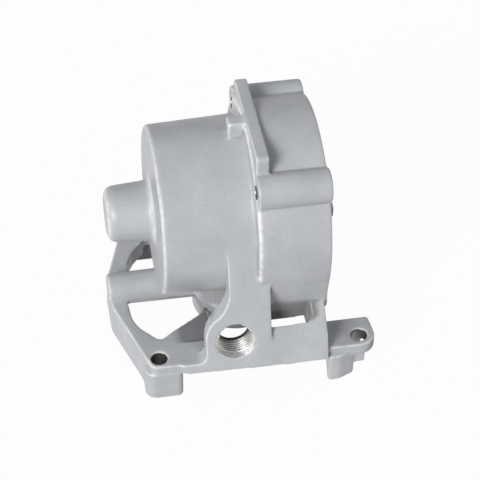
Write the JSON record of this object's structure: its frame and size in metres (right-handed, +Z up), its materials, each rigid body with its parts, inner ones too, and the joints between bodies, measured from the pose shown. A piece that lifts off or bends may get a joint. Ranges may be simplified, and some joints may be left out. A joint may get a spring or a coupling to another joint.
{
  "type": "die cast motor and gear housing",
  "caption": "Die cast aluminium housing: blind drum with bearing stub, ringed open end with cover bosses, threaded side port, and a footed base with lugs.",
  "frame": {"origin": "on the drum's axis, in the plane of the four cover bosses", "axes": "+X along the drum's axis out of its open end, +Z up from the feet, -Y towards the side with the threaded port"},
  "size_m": [0.1433, 0.137, 0.1409],
  "materials": {
    "cast_aluminium": "satin light grey paint over fine grained cast aluminium, with bare machined thread and bolt holes"
  },
  "bodies": {
    "root": {"housing": "cast_aluminium"}
  },
  "joints": []
}
